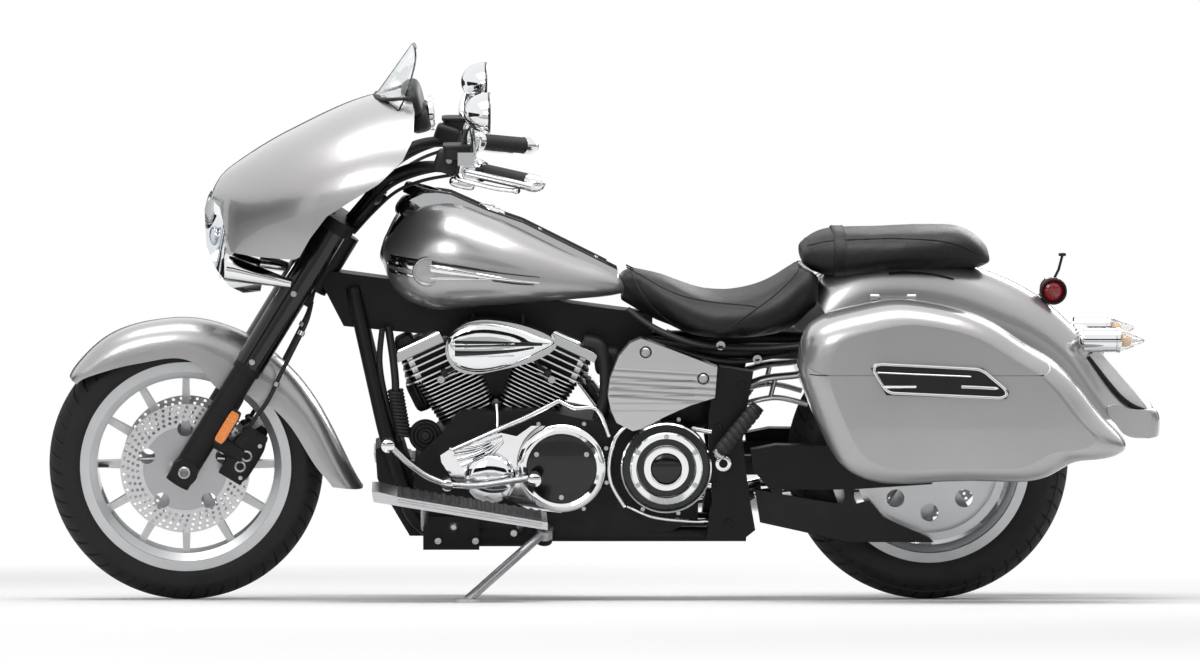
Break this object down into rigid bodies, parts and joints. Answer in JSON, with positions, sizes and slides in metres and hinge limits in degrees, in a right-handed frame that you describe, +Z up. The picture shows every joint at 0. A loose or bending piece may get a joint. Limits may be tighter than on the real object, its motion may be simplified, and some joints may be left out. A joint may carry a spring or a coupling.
{
  "type": "touring cruiser motorcycle",
  "caption": "Large touring motorcycle with a wide fork-mounted fairing, V-twin engine, two-up seat and hard saddlebags, parked on its side stand.",
  "frame": {"origin": "the point where the rear tyre touches the floor", "axes": "+X to the machine's rear, -Y to the rider's left, +Z up; the machine leans 8 degrees to its left on its side stand"},
  "size_m": [2.5639, 1.0725, 1.2825],
  "materials": {
    "silver_paint": "metallic, clear coated",
    "chrome": "polished",
    "black_metal": "satin black",
    "finned_alloy": "black with machined fin edges",
    "black_plastic": "matte",
    "rubber": "ribbed",
    "tyre": "treaded",
    "wheel_alloy": "silver painted",
    "steel": "brushed",
    "leather": "grained, stitched",
    "clear_lens": "clear",
    "red_lens": "gloss"
  },
  "bodies": {
    "chassis": {"frame": "black_metal", "crankcase": "black_metal", "front_cylinder": "finned_alloy", "rear_cylinder": "finned_alloy", "rocker_covers": "chrome", "engine_covers": "chrome", "right_cover": "black_metal", "fuel_tank": "silver_paint", "tank_console": "chrome", "rider_seat": "leather", "passenger_seat": "leather", "rear_fender": "silver_paint", "saddlebag_left": "silver_paint", "saddlebag_right": "silver_paint", "bag_mounts": "black_metal", "side_covers": "silver_paint", "air_cleaners": "chrome", "rear_axle": "steel", "swingarm": "black_metal", "pivot_plates": "black_metal", "belt_guard": "black_plastic", "tail_lamp": "red_lens", "rear_signals": "chrome", "floorboards": "steel", "passenger_pegs": "rubber", "shift_lever": "steel", "brake_pedal": "steel", "exhaust_headers": "chrome", "muffler": "chrome", "stand_bracket": "black_metal", "engine_boxes": "black_metal", "rear_caliper": "black_metal"},
    "steering": {"fork_sliders": "black_metal", "front_axle": "steel", "fork_covers": "black_metal", "triple_clamps": "black_metal", "handlebar": "black_metal", "grips": "rubber", "hand_controls": "chrome", "mirrors": "chrome", "fairing": "silver_paint", "fairing_panel": "black_plastic", "headlamp_lens": "clear_lens", "headlamp_shell": "chrome", "windshield": "clear_lens", "front_fender": "silver_paint", "front_signals": "chrome", "front_calipers": "black_metal"},
    "front_wheel_set": {"front_tyre": "tyre", "front_wheel": "wheel_alloy", "front_discs": "steel"},
    "rear_wheel_set": {"rear_tyre": "tyre", "rear_wheel": "wheel_alloy", "rear_pulley": "wheel_alloy", "rear_disc": "steel"},
    "left_lid": {"lid_left": "silver_paint", "latch_left": "black_plastic"},
    "right_lid": {"lid_right": "silver_paint", "latch_right": "black_plastic"},
    "stand": {"side_stand": "steel"}
  },
  "joints": [
    {"name": "steering_turn", "type": "hinge", "parent": "chassis", "child": "steering", "pos_m": [-1.68509, -0.02678, 0.29556], "axis": [0.5195, -0.1189, 0.8461], "range_deg": [-32, 32]},
    {"name": "front_wheel_spin", "type": "hinge", "parent": "steering", "child": "front_wheel_set", "pos_m": [-1.715, -0.02931, 0.31357], "axis": [0, 0.9903, 0.1392], "continuous": true},
    {"name": "rear_wheel_spin", "type": "hinge", "parent": "chassis", "child": "rear_wheel_set", "pos_m": [0, -0.03076, 0.32385], "axis": [0, 0.9903, 0.1392], "continuous": true},
    {"name": "side_stand_fold", "type": "hinge", "parent": "chassis", "child": "stand", "pos_m": [-0.89, -0.1669, 0.15728], "axis": [0.052, -0.613, 0.7884], "range_deg": [0, 122.8]},
    {"name": "left_lid_lift", "type": "hinge", "parent": "chassis", "child": "left_lid", "pos_m": [-0.1, -0.33496, 0.69205], "axis": [-1, 0, 0], "range_deg": [0, 62]},
    {"name": "right_lid_lift", "type": "hinge", "parent": "chassis", "child": "right_lid", "pos_m": [-0.1, 0.16017, 0.76163], "axis": [1, 0, 0], "range_deg": [0, 62]}
  ]
}
